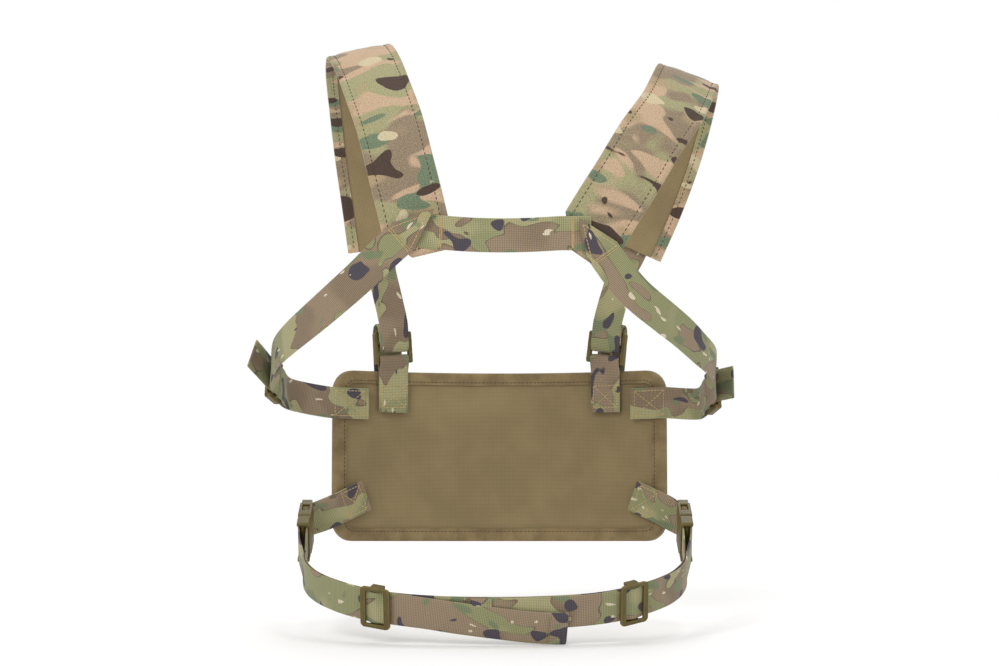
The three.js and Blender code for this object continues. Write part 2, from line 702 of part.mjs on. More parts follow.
const tabClimb = Math.tan(beltTilt - panel.lean);   // the tabs carry on along the belt's line
for (const [side, sign] of [['left', -1], ['right', 1]]) {
  add(`${side}_tri_glide`, triGlide(), plastic(), { group: belt, frame: glideFrame(glideAt[side]) });
  const frame = fittingFrame(
    vec(sign * buckleBar.x, buckleBar.y, buckleRise), vec(0, 1, 0), vec(sign, 0, 0));
  const placed = { group: belt, frame };
  add(`${side}_buckle_male`, buckleMale(), plastic(), placed);
  add(`${side}_buckle_upper_prong`, buckleProng(sign), plastic(), placed);
  add(`${side}_buckle_lower_prong`, buckleProng(-sign), plastic(), placed);
  add(`${side}_buckle_female`, buckleFemale(), plastic(), placed);

  const barPlace = inFrame(frame, buckle.frontBar, 0, 0).applyMatrix4(beltFrame);
  const onPanel = (inset, depth) => panelPoint(
    sign * (panel.halfWidth - inset),
    barPlace.z - panel.middle + tabClimb * (inset + 10),
    depth);
  const edge = onPanel(-4, buckleTabDepth - layerStep / 2);
  const across = axisOf(beltFrame, 2).multiplyScalar(-sign);
  const loopX = barPlace.clone().sub(edge).projectOnPlane(across).normalize();
  const loopFrame = new THREE.Matrix4()
    .makeBasis(loopX, across, loopX.clone().cross(across)).setPosition(barPlace);
  const leg = (depth) => [26, 12, -4].map((inset) => onPanel(inset, depth));
  const tab = [
    ...leg(buckleTabDepth - layerStep),
    ...tabLoop(loopFrame, 5),
    ...leg(buckleTabDepth).reverse(),
  ];
  const flatOnPanel = across.clone().projectOnPlane(panelNormal(sign * panel.halfWidth));
  const tabAcross = tab.map((_, i) => (Math.min(i, tab.length - 1 - i) < 3
    ? flatOnPanel
    : across));
  add(`${side}_buckle_anchor_tab`, ribbon(stations(tab, tabAcross, 2), {
    width: webWidth, thickness: webThick,
  }), webbing());
}

// ---------------------------------------------------------------- assembly: front panel
const layerInset = 0.6;
add('front_panel_lining', panelLayer(panelHeights.lining, layerInset), lining());
add('front_panel_foam', panelLayer(panelHeights.foam, layerInset + 1), foam());
add('front_panel_face', panelLayer(panelHeights.face, layerInset), cloth());
add('front_panel_binding', panelBinding(), tape());
for (let row = 0; row < palsRows; row += 1) {
  add(`front_webbing_row_${row + 1}`, palsRow(row), webbing());
}

// ---------------------------------------------------------------- the part's own frame
const extent = new THREE.Box3().setFromObject(rig, true);
const middle = extent.getCenter(vec(0, 0, 0));
rig.position.set(-middle.x, -middle.y, -extent.min.z);

export default rig;
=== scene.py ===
"""Looks of an H-back chest-rig harness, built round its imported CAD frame.

Every strap is read back from the CAD as a Band: a smooth path with a width direction. The soft
pieces are lofted along those bands or round the front panel's bend, so they sit where the CAD
solids sit. Plastic fittings keep their CAD shape, softened by modifiers. Metres, +Z up, and the
harness back faces -Y.
"""
import json
import math
import random

import bmesh
import bpy
import numpy as np
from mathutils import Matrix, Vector


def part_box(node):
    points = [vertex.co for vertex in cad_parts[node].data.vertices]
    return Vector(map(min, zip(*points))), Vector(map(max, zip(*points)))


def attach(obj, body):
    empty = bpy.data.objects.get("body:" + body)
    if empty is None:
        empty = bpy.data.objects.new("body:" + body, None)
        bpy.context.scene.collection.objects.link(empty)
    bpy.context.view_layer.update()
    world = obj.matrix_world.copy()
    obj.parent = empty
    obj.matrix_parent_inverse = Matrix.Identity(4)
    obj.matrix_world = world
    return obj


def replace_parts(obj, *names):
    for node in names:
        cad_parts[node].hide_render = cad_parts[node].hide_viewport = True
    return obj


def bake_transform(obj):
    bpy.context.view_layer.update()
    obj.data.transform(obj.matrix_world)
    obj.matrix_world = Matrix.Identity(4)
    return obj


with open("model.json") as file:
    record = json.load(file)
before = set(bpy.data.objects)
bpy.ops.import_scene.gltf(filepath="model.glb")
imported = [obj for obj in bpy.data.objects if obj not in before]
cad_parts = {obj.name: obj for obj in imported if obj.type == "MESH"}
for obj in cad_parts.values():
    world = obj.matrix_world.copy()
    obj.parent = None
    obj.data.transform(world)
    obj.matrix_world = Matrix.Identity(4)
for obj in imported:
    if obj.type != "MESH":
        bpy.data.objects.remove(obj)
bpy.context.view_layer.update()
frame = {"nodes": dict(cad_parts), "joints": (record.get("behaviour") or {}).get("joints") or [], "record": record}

# ---- driving dimensions
MM = 0.001
WEB_WIDTH, WEB_THICK = 25.4 * MM, 1.4 * MM
WEB_FACE = WEB_THICK / 2          # from webbing's middle layer to either face
STRAP_WIDTH, CLOTH_THICK = 50.8 * MM, 0.9 * MM
PADDING_WIDTH, PADDING_THICK = STRAP_WIDTH - 6 * MM, 1.6 * MM
EDGE_SEAM = 5.5 * MM              # from a shoulder strap's edge to its stitch line
STRAP_PUFF = 1.1 * MM             # how far a shoulder strap's cover swells over its padding
PANEL_BEND = 220 * MM             # radius of the front panel's inner face
PANEL_CORNER = 16 * MM
PANEL_LINING = (0.0, 0.8 * MM)    # each layer's lowest and highest place above that inner face
PANEL_FOAM = (1.15 * MM, 4.15 * MM)
PANEL_FACE = (4.5 * MM, 5.5 * MM)
PANEL_PUFF = 1.6 * MM
TACK_PITCH = 38 * MM              # between attachment rows, and between bar tacks along one
GLIDE_REACH = 7.5 * MM            # half the length of webbing in a tri-glide's window
BUCKLE_ROOT = 15.6 * MM           # from a male buckle's webbing bar to its prongs' hinges
BUCKLE_HALF_THICK = 5 * MM
PRONG_EDGE = 16.25 * MM           # from a buckle's middle line to a prong's outer edge
SIDES = ("left", "right")

FLOOR_REACH, FLOOR_LEVEL = 40.0, -0.6 * MM
FLOOR_FADE = (0.3, 1.3)           # the floor turns from lit to plain white over these distances
WORLD_LIGHT = 0.62
LIGHT_TARGET = (0, 0, 0.23)
LIGHTS = (                        # name, place, size, power and tint
    ("key", (-1.6, -2.2, 2.0), 1.6, 42, (1.0, 0.98, 0.95)),
    ("fill", (1.9, -1.9, 1.1), 1.8, 14, (0.95, 0.97, 1.0)),
    ("top", (0.1, 0.3, 2.4), 1.6, 16, (1.0, 1.0, 1.0)),
    ("front", (0.3, 2.4, 1.2), 1.8, 22, (1.0, 0.99, 0.97)),
)
CAMERA_PLACE = (6.4 * MM, -1912.4 * MM, 231.9 * MM)
CAMERA_LENS, CAMERA_SENSOR = 87.3, 36        # both in millimetres, as Blender takes them


# ---- vectors
def unit(a):
    return a / np.maximum(np.linalg.norm(a, axis=-1, keepdims=True), 1e-12)


def smoothstep(x, low, high):
    t = np.clip((np.asarray(x, float) - low) / (high - low), 0, 1)
    return t * t * (3 - 2 * t)


def interpolate(x, places, table):
    """The rows of a table that are known at those places, found at x."""
    return np.stack([np.interp(x, places, column) for column in table.T], -1)


def wander(seed, scale):
    """A smooth wavy function of a length, different for each seed, mostly between -1 and 1."""
    draw = random.Random(seed)
    waves = [(draw.uniform(0.6, 2.2) / scale, draw.uniform(0, 6.28)) for _ in range(4)]
    return lambda s: sum(np.sin(np.asarray(s) * k + phase) for k, phase in waves) / 2.4


# ---- bands
def curve_through(points, per_span):
    """Points along the centripetal Catmull-Rom curve through the given points."""
    p = np.vstack([2 * points[0] - points[1], points, 2 * points[-1] - points[-2]])
    spans = []
    for k in range(1, len(p) - 2):
        a, b, c, d = p[k - 1:k + 3]
        t1 = np.linalg.norm(b - a) ** 0.5
        t2 = t1 + np.linalg.norm(c - b) ** 0.5
        t3 = t2 + np.linalg.norm(d - c) ** 0.5
        t = np.linspace(t1, t2, per_span, endpoint=False)[:, None]
        ab = a + (b - a) * t / t1
        bc = b + (c - b) * (t - t1) / (t2 - t1)
        cd = c + (d - c) * (t - t2) / (t3 - t2)
        abc = ab + (bc - ab) * t / t2
        bcd = bc + (cd - bc) * (t - t1) / (t3 - t1)
        spans.append(abc + (bcd - abc) * (t - t1) / (t2 - t1))
    return np.vstack([*spans, points[-1:]])


class Band:
    """A strap's smooth path. at(s, v, h): s along it, v across it, h above its middle layer."""

    PER_SPAN = 8

    def __init__(self, points, sides, cut=()):
        self.points = curve_through(np.asarray(points, float), self.PER_SPAN)
        knots = np.arange(len(sides)) * self.PER_SPAN
        every = np.arange(len(self.points))
        self.side = unit(interpolate(every, knots, np.asarray(sides, float)))
        self.along = unit(np.gradient(self.points, axis=0))
        self.up = unit(np.cross(self.side, self.along))
        steps = np.linalg.norm(np.diff(self.points, axis=0), axis=1)
        self.s = np.concatenate([[0], np.cumsum(steps)])
        self.length = self.s[-1]
        self.cut = list(cut)          # (place across, reach past the start) of a shaped end

    def frames(self, s):
        """Point, direction, side and up at s. Past its ends the band goes straight on."""
        s = np.asarray(s, float)
        on = np.clip(s, 0, self.length)
        along = unit(interpolate(on, self.s, self.along))
        up = unit(interpolate(on, self.s, self.up))
        point = interpolate(on, self.s, self.points) + (s - on)[..., None] * along
        return point, along, np.cross(along, up), up

    def at(self, s, v, h):
        point, _, side, up = self.frames(s)
        return point + side * np.asarray(v)[..., None] + up * np.asarray(h)[..., None]

    def nearest(self, point):
        """The distance along the band of its place nearest to a point."""
        return self.s[np.argmin(np.linalg.norm(self.points - np.asarray(point), axis=1))]

    def rows(self, coarse=4 * MM, turn=math.radians(9)):
        """Distances along the band, at most coarse apart and closer together where it bends."""
        samples = 1500
        fine = np.linspace(0.0, self.length, samples)
        _, along, _, up = self.frames(fine)
        bend = np.linalg.norm(np.gradient(along, axis=0), axis=1)
        twist = np.linalg.norm(np.gradient(up, axis=0), axis=1)
        step = self.length / (samples - 1)
        density = np.cumsum(step / coarse + np.maximum(bend, twist) / turn)
        density -= density[0]
        count = max(3, int(math.ceil(density[-1])) + 1)
        return np.interp(np.linspace(0, density[-1], count), density, fine)

    def bent(self, places):
        """A new band through places (s, h) of this one, such as a strap that folds back."""
        places = np.asarray(places, float)
        point, _, side, up = self.frames(places[:, 0])
        return Band(point + up * places[:, 1:2], side)

    def turned_over(self):
        """The same path with its other face up."""
        cut = [(-v, reach) for v, reach in self.cut[::-1]]
        return Band(self.points[::self.PER_SPAN], -self.side[::self.PER_SPAN], cut)


def square_ends(mesh, area):
    """Corner sets of the mesh's flat patches of that area with square edges all round."""
    flat, square_edge = 0.01, 1.0                # angles between faces, in radians
    ends, seen = [], set()
    for first in mesh.faces:
        if first in seen:
            continue
        patch, waiting, square = {first}, [first], True
        while waiting:
            face = waiting.pop()
            for edge in face.edges:
                for other in edge.link_faces:
                    angle = face.normal.angle(other.normal, 0)
                    if angle < flat and other not in patch:
                        patch.add(other)
                        waiting.append(other)
                    elif flat <= angle < square_edge:
                        square = False
        seen |= patch
        if square and abs(sum(f.calc_area() for f in patch) - area) < 0.03 * area:
            ends.append({v for f in patch for v in f.verts})
    return ends


def read_band(node, first, outward, width=WEB_WIDTH, thick=WEB_THICK):
    """The Band of a CAD ribbon, from its square end furthest towards first, with its up there
    nearest outward. A ribbon with one shaped end is read from the square one and turned round,
    so its band starts at the shaped end."""
    mesh = bmesh.new()
    mesh.from_mesh(frame["nodes"][node].data)
    bmesh.ops.remove_doubles(mesh, verts=mesh.verts, dist=0.002 * MM)
    mesh.normal_update()
    ends = square_ends(mesh, width * thick)
    if not ends:
        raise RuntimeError(f"{node} has no square end to read its path from")
    ring = max(ends, key=lambda e: max(v.co.dot(Vector(first)) for v in e))
    rings, seen = [], set()
    while ring:
        rings.append(np.array([v.co[:] for v in ring]))
        seen |= ring
        ring = {e.other_vert(v) for v in ring for e in v.link_edges} - seen
    mesh.free()

    centres, sides, side, up = [], [], None, np.array(outward, float)
    shaped = len(ends) == 1
    for corners in rings[:-1] if shaped else rings:
        middle = corners.mean(0)
        _, _, axes = np.linalg.svd(corners - middle)
        across, out = axes[0], axes[1]
        up = out if out @ up >= 0 else -out
        side = across if side is None or across @ side >= 0 else -across
        reach = (corners - middle) @ side
        centres.append(middle + side * (reach.max() + reach.min()) / 2)
        sides.append(side)
    along = centres[1] - centres[0]
    if np.cross(sides[0], along) @ np.array(outward, float) < 0:
        sides = [-s for s in sides]
        side = -side
    if not shaped:
        return Band(centres, sides)

    corners = rings[-1]                          # of the shaped end
    onward = unit(centres[-1] - centres[-2])
    across = (corners - centres[-1]) @ side
    ahead = (corners - centres[-1]) @ onward
    places = {}
    for v, reach in zip(across, ahead):          # corners of both faces, matched across the strap
        places.setdefault(round(v / width * 40), []).append((v, reach))
    outline = [np.mean(group, axis=0) for _, group in sorted(places.items())]
    base = min(outline[0][1], outline[-1][1])
    centres.append(centres[-1] + onward * base)
    sides.append(side)
    cut = [(-v, reach - base) for v, reach in reversed(outline)]
    return Band(centres[::-1], [-s for s in sides[::-1]], cut)


# ---- meshes
def placed(name, data):
    """A new object in the scene."""
    item = bpy.data.objects.new(name, data)
    bpy.context.scene.collection.objects.link(item)
    return item


def finish_mesh(name, mesh, material, crease=40):
    """Turns mesh data into a shown piece."""
    mesh.polygons.foreach_set("use_smooth", [True] * len(mesh.polygons))
    mesh.set_sharp_from_angle(angle=math.radians(crease))
    mesh.materials.append(material)
    piece = placed(name, mesh)
    return piece


def pattern_start(name):
    """Where along the endless printed pattern a piece is cut from, in metres."""
    return random.Random(name).uniform(0, 6)


def loft(name, place, s, v, h, material, shift=0.0, ring=False, offset=None, wear=None):
    """A closed skin through rows of loops. s, v and h are arrays of rows by places round the
    loop, or fit one. The first half of a loop is its top, the second its bottom coming back.
    ring joins the last row to the first. shift slides the pattern along the piece, offset moves
    the placed points, and wear says how rubbed each one is, from 0 to 1."""
    s, v, h = np.broadcast_arrays(s, v, h)
    rows, count = s.shape
    points = place(s.ravel(), v.ravel(), h.ravel())
    if offset is not None:
        points = points + offset.reshape(-1, 3)
    faces = []
    for i in range(rows if ring else rows - 1):
        a, b = i * count, (i + 1) % rows * count
        for k in range(count):
            n = (k + 1) % count
            faces.append((a + k, b + k, b + n, a + n))
    if not ring:
        for i in range(count // 2 - 1):
            j = count - 1 - i
            faces.append((i, i + 1, j - 1, j))
            last = (rows - 1) * count
            faces.append((last + j, last + j - 1, last + i + 1, last + i))
    mesh = bpy.data.meshes.new(name)
    mesh.from_pydata(points.tolist(), [], faces)
    pattern = np.stack([s.ravel() + shift, v.ravel()], -1)
    uv = mesh.uv_layers.new(name="Pattern")
    corner = np.zeros(len(mesh.loops), np.int32)
    mesh.loops.foreach_get("vertex_index", corner)
    uv.data.foreach_set("uv", pattern[corner].astype(np.float32).ravel())
    if wear is not None:
        rubbed = mesh.attributes.new("edge_wear", "FLOAT", "POINT")
        rubbed.data.foreach_set("value", wear.astype(np.float32).ravel())
    tidy = bmesh.new()
    tidy.from_mesh(mesh)
    bmesh.ops.recalc_face_normals(tidy, faces=tidy.faces)
    tidy.to_mesh(mesh)
    tidy.free()
    return finish_mesh(name, mesh, material)


def shell_loop(outline, thick):
    """A loop round a bent sheet's section: its outside, then its inside coming back."""
    outline = np.asarray(outline, float)
    run = unit(np.gradient(outline, axis=0))
    inward = np.stack([run[:, 1], -run[:, 0]], -1)
    return np.vstack([outline, (outline + inward * thick)[::-1]])


def web_section(width=WEB_WIDTH, thick=WEB_THICK):
    """Places across and heights round a woven strap's section, thicker at its selvedges."""
    v = np.sin(np.linspace(-1, 1, 11) * math.pi / 2)
    edge = np.abs(v)
    rounded, selvedge = 1 - 0.75 * edge ** 18, 0.94 + 0.1 * edge ** 4
    top = rounded * selvedge
    v = np.concatenate([v, v[::-1]]) * width / 2
    h = np.concatenate([top, -top[::-1]]) * thick / 2
    return v, h


def webbing(name, band, stands_for, ripple=0.2 * MM, coarse=4 * MM, body="harness"):
    """A woven strap along a band, with slightly wavy selvedges. It rides on body, if one is given."""
    rows = band.rows(coarse=coarse)
    v, h = web_section()
    wave, twist = wander(name, 16 * MM), wander(name + "twist", 30 * MM)
    s = rows[:, None]
    edge = (2 * v / WEB_WIDTH) ** 2
    h = h + ripple * edge * wave(s + v * 0.6) + ripple * 0.5 * twist(s) * np.sign(v) * edge
    if band.cut:
        place, reach = np.array(band.cut).T
        past = np.interp(v, place, reach)
        s = s - past * (1 - smoothstep(s, 0, 12 * MM) ** 0.5)
    strap = loft(name, band.at, s, v, h, WEB, pattern_start(name))
    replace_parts(strap, stands_for)
    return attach(strap, body) if body else strap


def stitch_marks(place, path, pitch=3.6 * MM, turn=0.0):
    """Centre, direction and normal of each stitch along a path of (s, v, h) places. turn sets
    the stitches at an angle to the path."""
    path = np.asarray(path, float)
    fine = np.vstack([np.linspace(a, b, 60, endpoint=False) for a, b in zip(path, path[1:])])
    fine = np.vstack([fine, path[-1:]])
    line = place(fine[:, 0], fine[:, 1], fine[:, 2])
    over = place(fine[:, 0], fine[:, 1], fine[:, 2] + 1 * MM)
    length = np.concatenate([[0], np.cumsum(np.linalg.norm(np.diff(line, axis=0), axis=1))])
    count = max(1, int(length[-1] / pitch))
    marks = (np.arange(count) + 0.5) * length[-1] / count
    centre = interpolate(marks, length, line)
    along = unit(interpolate(marks, length, np.gradient(line, axis=0)))
    up = unit(interpolate(marks, length, over) - centre)
    if turn:
        along = along * math.cos(turn) + np.cross(up, along) * math.sin(turn)
    return list(zip(centre, along, up))


def threads(name, marks, material, body="harness", length=2.7 * MM, radius=0.34 * MM):
    """One piece holding a small arched thread at every mark."""
    # each station's place along the thread, its size there and how high the arch stands
    stations = ((-1, 0.3, -0.9), (-0.7, 0.85, -0.1), (0, 1, 0.25), (0.7, 0.85, -0.1), (1, 0.3, -0.9))
    sides = 6
    ring = [(math.cos(k * math.tau / sides), math.sin(k * math.tau / sides)) for k in range(sides)]
    points, faces = [], []
    for centre, along, up in marks:
        side = np.cross(along, up)
        base = len(points)
        for x, size, arch in stations:
            for c, r in ring:
                points.append(centre + along * x * length / 2 + up * radius * (arch + r * size)
                              + side * radius * c * size)
        for i in range(len(stations) - 1):
            for k in range(sides):
                a, n = base + i * sides, (k + 1) % sides
                faces.append((a + k, a + sides + k, a + sides + n, a + n))
        last = base + (len(stations) - 1) * sides
        faces.append(tuple(base + k for k in range(sides)))
        faces.append(tuple(last + k for k in reversed(range(sides))))
    mesh = bpy.data.meshes.new(name)
    mesh.from_pydata(np.array(points).tolist(), [], faces)
    mesh.validate()
    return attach(finish_mesh(name, mesh, material, crease=80), body)


def billow(points, held, cap):
    """How far each point of a grid moves as cloth under pressure, held where held is 1.

    points is rows x places x 3, and the cloth swells towards its upper side. The hundredth of the
    points that moves furthest moves by cap."""
    pressure, frames = 200.0, 24
    rows, count, _ = points.shape
    normal = unit(np.cross(np.gradient(points, axis=1), np.gradient(points, axis=0)))
    faces = [(i * count + k, i * count + k + 1, (i + 1) * count + k + 1, (i + 1) * count + k)
             for i in range(rows - 1) for k in range(count - 1)]
    mesh = bpy.data.meshes.new("billow")
    mesh.from_pydata(points.reshape(-1, 3).tolist(), [], faces)
    mesh.update()
    wanted = normal[:-1, :-1].reshape(-1, 3)
    if np.mean([face.normal.dot(Vector(n)) for face, n in zip(mesh.polygons, wanted)]) < 0:
        mesh.flip_normals()
    sheet = placed("billow", mesh)
    group = sheet.vertex_groups.new(name="held")
    for index, weight in enumerate(held.ravel()):
        group.add([index], float(weight), "REPLACE")
    cloth = sheet.modifiers.new("Cloth", "CLOTH")
    settings = cloth.settings
    settings.vertex_group_mass = "held"
    settings.quality = 5
    settings.mass = 0.004
    settings.tension_stiffness = 15
    settings.compression_stiffness = 15
    settings.bending_stiffness = 0.5
    settings.use_pressure = True
    settings.uniform_pressure_force = pressure
    settings.effector_weights.gravity = 0
    cloth.collision_settings.use_collision = False
    cloth.point_cache.frame_end = frames
    scene = bpy.context.scene
    for step in range(1, frames + 1):
        scene.frame_set(step)
    moved = sheet.evaluated_get(bpy.context.evaluated_depsgraph_get()).data
    now = np.zeros(rows * count * 3)
    moved.vertices.foreach_get("co", now)
    shift = now.reshape(rows, count, 3) - points
    bpy.data.objects.remove(sheet)
    scene.frame_set(1)
    size = np.linalg.norm(shift, axis=2)
    limit = np.percentile(size, 99)
    print(f"cloth sheet of {rows} x {count}: moved up to {size.max() / MM:.2f} mm")
    tiny = 1e-9
    scale = np.minimum(size, limit) / np.maximum(size, tiny) * cap / max(limit, tiny)
    return shift * scale[..., None]


# ---- material nodes
def colour(text):
    """A shader colour from the usual #rrggbb."""
    channels = [int(text[i:i + 2], 16) / 255 for i in (1, 3, 5)]
    return [c / 12.92 if c <= 0.04045 else ((c + 0.055) / 1.055) ** 2.4 for c in channels] + [1]


class Shader:
    """One material under construction. Inputs may be plain values, #rrggbb colours or other
    nodes' outputs. Sizes in patterns are in millimetres."""

    def __init__(self, name, roughness, sheen=0.0):
        self.material = bpy.data.materials.new(name)
        self.material.use_nodes = True
        self.tree = self.material.node_tree
        self.tree.nodes.clear()
        self.surface = self.new("ShaderNodeBsdfPrincipled", {"Roughness": roughness})
        self.set("Sheen Weight", sheen)
        self.set("Specular IOR Level", 0.3)
        out = self.new("ShaderNodeOutputMaterial")
        self.tree.links.new(self.surface.outputs[0], out.inputs[0])

    def put(self, socket, value):
        if isinstance(value, bpy.types.NodeSocket):
            self.tree.links.new(value, socket)
        else:
            socket.default_value = colour(value) if isinstance(value, str) else value

    def new(self, kind, inputs=None, **settings):
        node = self.tree.nodes.new(kind)
        for key, value in settings.items():
            setattr(node, key, value)
        for key, value in (inputs or {}).items():
            self.put(node.inputs[key], value)
        return node

    def math(self, operation, a, b=0.0, c=0.0):
        return self.new("ShaderNodeMath", {0: a, 1: b, 2: c}, operation=operation).outputs[0]

    def mix(self, factor, a, b, blend="MIX"):
        node = self.new("ShaderNodeMix", {0: factor, 6: a, 7: b}, data_type="RGBA", blend_type=blend)
        return node.outputs[2]

    def millimetres(self, vector):
        scale = (1000, 1000, 1000)
        return self.new("ShaderNodeVectorMath", {0: vector, 1: scale}, operation="MULTIPLY").outputs[0]

    def pattern(self):
        """The piece's own flat coordinates: along it, and across it."""
        return self.millimetres(self.new("ShaderNodeUVMap", uv_map="Pattern").outputs[0])

    def place(self):
        """A point's place on the object."""
        return self.millimetres(self.new("ShaderNodeTexCoord").outputs["Object"])

    def axes(self, vector):
        node = self.new("ShaderNodeSeparateXYZ", {0: vector})
        return node.outputs[0], node.outputs[1]

    def noise(self, vector, size, detail=1.0, stretch=(1, 1), turn=0.0, seed=0.0, warp=0.0):
        """Noise with features about size across."""
        moved = self.new("ShaderNodeMapping", {
            "Vector": vector, "Location": (seed * 17.3, seed * 9.1, seed * 3.7),
            "Rotation": (0, 0, turn), "Scale": (stretch[0] / size, stretch[1] / size, 1 / size)})
        node = self.new("ShaderNodeTexNoise", {
            "Vector": moved.outputs[0], "Scale": 1.0, "Detail": detail, "Distortion": warp})
        return node.outputs[0]

    def above(self, value, edge, soft=0.006):
        """0 below the edge and 1 above it, with a soft step between."""
        return self.new("ShaderNodeMapRange", {
            "Value": value, "From Min": edge - soft, "From Max": edge + soft},
            interpolation_type="SMOOTHSTEP").outputs[0]

    def bump(self, height, distance, strength=1.0):
        inputs = {"Height": height, "Distance": distance, "Strength": strength}
        self.set("Normal", self.new("ShaderNodeBump", inputs).outputs[0])

    def ribs(self, place, pitch):
        """Height of rounded ribs with that pitch, from 0 between them to 1."""
        return self.math("ABSOLUTE", self.math("SINE", self.math("MULTIPLY", place, math.pi / pitch)))

    def weave(self, vector, pitch, depth=0.6):
        """Height of a plain weave with that pitch. depth is the share of the lengthwise threads."""
        along, across = self.axes(vector)
        over, under = self.ribs(along, pitch), self.ribs(across, pitch)
        return self.math("MULTIPLY_ADD", under, depth, self.math("MULTIPLY", over, 1 - depth))

    def blots(self, base, vector, shapes, detail, warp):
        """The base under shapes given by tint, size, stretch, turn, seed, edge and softness."""
        for tint, size, stretch, turn, seed, edge, soft in shapes:
            shape = self.noise(vector, size, detail, stretch, turn, seed, warp)
            base = self.mix(self.above(shape, edge, soft), base, tint)
        return base

    def set(self, name, value):
        self.put(self.surface.inputs[name], value)

    def paint(self, base):
        self.set("Base Color", base)
        return self.material


def camo_cloth():
    """Printed nylon: soft tan, khaki and olive fields under crisp green, cream and brown shapes."""
    m = Shader("printed_cloth", 0.82, sheen=0.1)
    p = m.pattern()
    field = m.noise(p, 36, detail=1.5, stretch=(1.15, 0.7), seed=1, warp=0.5)
    base = m.mix(m.above(field, 0.48, 0.05), "#8f806c", "#a09e7a")
    warm = m.noise(p, 30, detail=1.2, stretch=(1.3, 0.65), turn=0.3, seed=2, warp=0.6)
    base = m.mix(m.above(warm, 0.56, 0.025), base, "#c0a78e")
    dusty = m.noise(p, 38, detail=1.0, stretch=(1.2, 0.8), turn=-0.5, seed=3)
    base = m.mix(m.above(dusty, 0.6, 0.05), base, "#ab987a")
    base = m.blots(base, p, (
        ("#6f8069", 21, (1.25, 0.62), 0.4, 4, 0.665, 0.012),
        ("#c9bd9f", 17, (1.2, 0.75), -0.3, 5, 0.725, 0.007),
        ("#4c3d35", 21, (1.35, 0.66), -0.45, 6, 0.668, 0.005)), detail=0.3, warp=0.2)
    speckle = m.noise(p, 0.8, detail=2, seed=7)
    base = m.mix(0.45, base, m.mix(m.above(speckle, 0.5, 0.12), "#4b4640", "#ece5d8"), "SOFT_LIGHT")
    threads_up = m.weave(p, 0.55)
    # painted shade: the weave's low places are darkened where shade would fall between its threads
    base = m.mix(0.3, base, m.mix(threads_up, "#6f6552", "#f5efe2"), "MULTIPLY")
    wear = m.new("ShaderNodeAttribute", attribute_name="edge_wear").outputs["Fac"]
    fray = m.noise(p, 2.2, detail=3, seed=8)
    scuff = m.above(m.math("ADD", wear, m.math("MULTIPLY", fray, 0.5)), 1.12, 0.2)
    base = m.mix(m.math("MULTIPLY", scuff, 0.35), base, "#b8a683")
    m.set("Roughness", m.math("MULTIPLY_ADD", speckle, 0.25, 0.68))
    m.bump(m.math("ADD", threads_up, speckle), 0.04 * MM, 0.25)
    return m.paint(base)


def camo_webbing():
    """Woven nylon tape: olive, khaki and green fields, dark outlines and blots, cream flecks."""
    m = Shader("woven_webbing", 0.78, sheen=0.12)
    p = m.pattern()
    border = 0.495                       # the noise level where olive meets khaki
    field = m.noise(p, 30, detail=1.3, stretch=(0.66, 1.1), turn=0.5, seed=11, warp=0.9)
    khaki = m.above(field, border, 0.004)
    base = m.mix(khaki, "#959770", "#9a8872")
    shade = m.noise(p, 44, detail=1, seed=12)
    base = m.mix(m.above(shade, 0.56, 0.06), base, m.mix(khaki, "#aca880", "#8b7a65"))
    outline = m.math("COMPARE", field, border, 0.0055)
    base = m.mix(m.math("MULTIPLY", outline, 0.75), base, "#625b49")
    green = m.noise(p, 20, detail=0.6, stretch=(0.8, 1.3), turn=-0.4, seed=13, warp=0.3)
    base = m.mix(m.above(green, 0.65, 0.02), base, "#7d8868")
    base = m.blots(base, p, (
        ("#504a55", 17, (0.7, 1.0), 0.7, 14, 0.652, 0.005),
        ("#ddd4bc", 8, (0.7, 1.5), -0.6, 15, 0.765, 0.005)), detail=0.5, warp=0.3)
    threads_up = m.weave(p, 1.3, depth=0.4)
    fibre = m.noise(p, 0.5, detail=2, seed=16)
    depth = m.math("MULTIPLY_ADD", fibre, 0.35, threads_up)
    # painted shade: the weave's deep places are darkened and the raised threads left light
    base = m.mix(0.62, base, m.mix(m.above(depth, 0.72, 0.42), "#453d30", "#fffaf0"), "MULTIPLY")
    m.set("Roughness", m.math("MULTIPLY_ADD", fibre, 0.25, 0.62))
    m.bump(depth, 0.16 * MM, 0.7)
    return m.paint(base)


def backing_cloth():
    """Plain tan cloth with a visible weave, painted shade in its hollows, and a little dirt."""
    m = Shader("backing_cloth", 0.88, sheen=0.1)
    p = m.pattern()
    threads_up = m.weave(p, 1.1)
    dirt = m.noise(p, 30, detail=3, seed=21)
    base = m.mix(m.above(dirt, 0.5, 0.25), "#8b7a58", "#96845f")
    # painted shade: the weave's low places are darkened where shade would fall between its threads
    base = m.mix(0.5, base, m.mix(threads_up, "#5c5343", "#ffffff"), "MULTIPLY")
    m.bump(threads_up, 0.12 * MM, 0.6)
    return m.paint(base)


def grosgrain():
    """Ribbed binding tape."""
    m = Shader("grosgrain_tape", 0.8, sheen=0.1)
    p = m.pattern()
    rib = m.ribs(m.axes(p)[0], 1.0)
    dirt = m.noise(p, 14, detail=4, seed=31)
    base = m.mix(m.above(dirt, 0.5, 0.2), "#7d6a49", "#94805a")
    # painted shade: the grooves between the ribs are darkened
    base = m.mix(0.45, base, m.mix(rib, "#5a4f3a", "#ffffff"), "MULTIPLY")
    m.bump(rib, 0.12 * MM, 0.7)
    return m.paint(base)


def foam():
    """Closed-cell foam."""
    m = Shader("closed_cell_foam", 0.95)
    pores = m.new("ShaderNodeTexVoronoi", {"Vector": m.place(), "Scale": 1.1}).outputs[0]
    m.bump(pores, 0.2 * MM, 0.7)
    # painted shade: the pits of the pores are darker than the cell walls around them
    return m.paint(m.mix(m.above(pores, 0.35, 0.3), "#26241f", "#45423a"))


